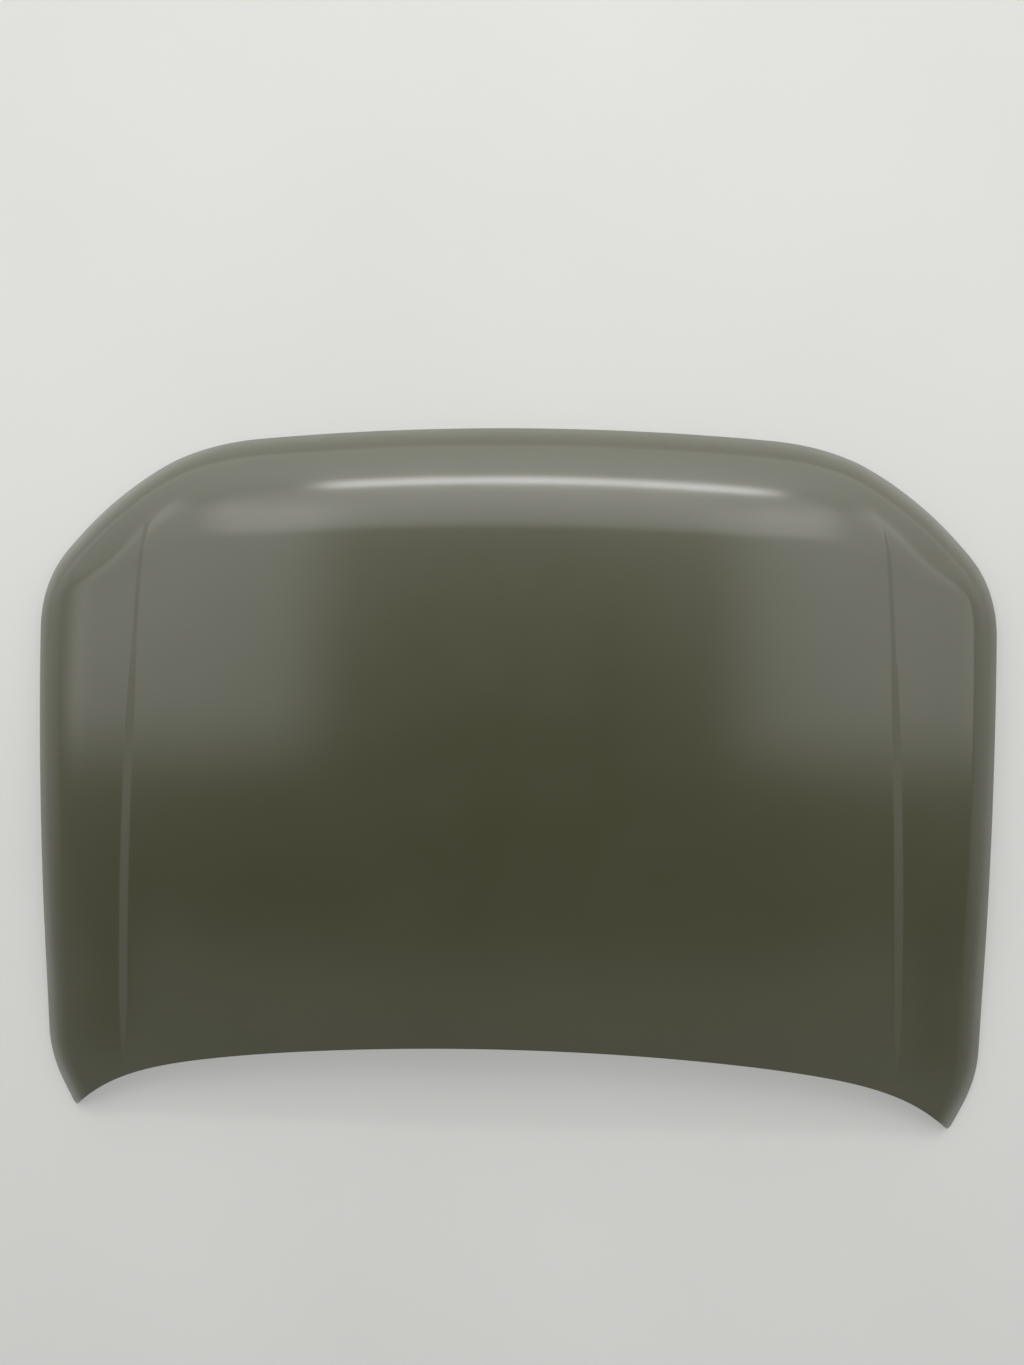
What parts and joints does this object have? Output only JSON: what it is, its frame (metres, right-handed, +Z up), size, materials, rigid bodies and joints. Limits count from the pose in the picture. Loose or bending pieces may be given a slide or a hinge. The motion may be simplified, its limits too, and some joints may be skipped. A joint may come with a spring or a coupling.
{
  "type": "car bonnet",
  "caption": "Car bonnet in grey primer: domed skin with shoulder creases, folded over a ribbed inner panel with hinge pads and a striker loop.",
  "frame": {"origin": "middle of the bonnet's plan box, on the surface that it rests on", "axes": "+X across the car, +Y towards the front of the car, +Z up out of the outer skin; it lies at rest on its two rear tips and front corners"},
  "size_m": [1.5058, 1.1026, 0.1314],
  "materials": {
    "primer_skin": "semi gloss grey green electrocoat primer",
    "primer_panel": "satin grey green electrocoat primer",
    "primer_plate": "satin grey green electrocoat primer",
    "zinc": "zinc plated",
    "mastic": "dull"
  },
  "bodies": {
    "root": {"hinge_nut_left_front": "zinc", "hinge_nut_left_rear": "zinc", "hinge_nut_right_front": "zinc", "hinge_nut_right_rear": "zinc", "hinge_plate_left": "primer_plate", "hinge_plate_right": "primer_plate", "inner_panel": "primer_panel", "latch_plate": "primer_plate", "mastic_left_1": "mastic", "mastic_left_10": "mastic", "mastic_left_11": "mastic", "mastic_left_12": "mastic", "mastic_left_2": "mastic", "mastic_left_3": "mastic", "mastic_left_4": "mastic", "mastic_left_5": "mastic", "mastic_left_6": "mastic", "mastic_left_7": "mastic", "mastic_left_8": "mastic", "mastic_left_9": "mastic", "mastic_right_1": "mastic", "mastic_right_10": "mastic", "mastic_right_11": "mastic", "mastic_right_12": "mastic", "mastic_right_2": "mastic", "mastic_right_3": "mastic", "mastic_right_4": "mastic", "mastic_right_5": "mastic", "mastic_right_6": "mastic", "mastic_right_7": "mastic", "mastic_right_8": "mastic", "mastic_right_9": "mastic", "outer_skin": "primer_skin", "striker_bolt_left": "zinc", "striker_bolt_right": "zinc", "striker_loop": "zinc", "striker_nut_left": "zinc", "striker_nut_right": "zinc", "striker_plate": "zinc"}
  },
  "joints": []
}
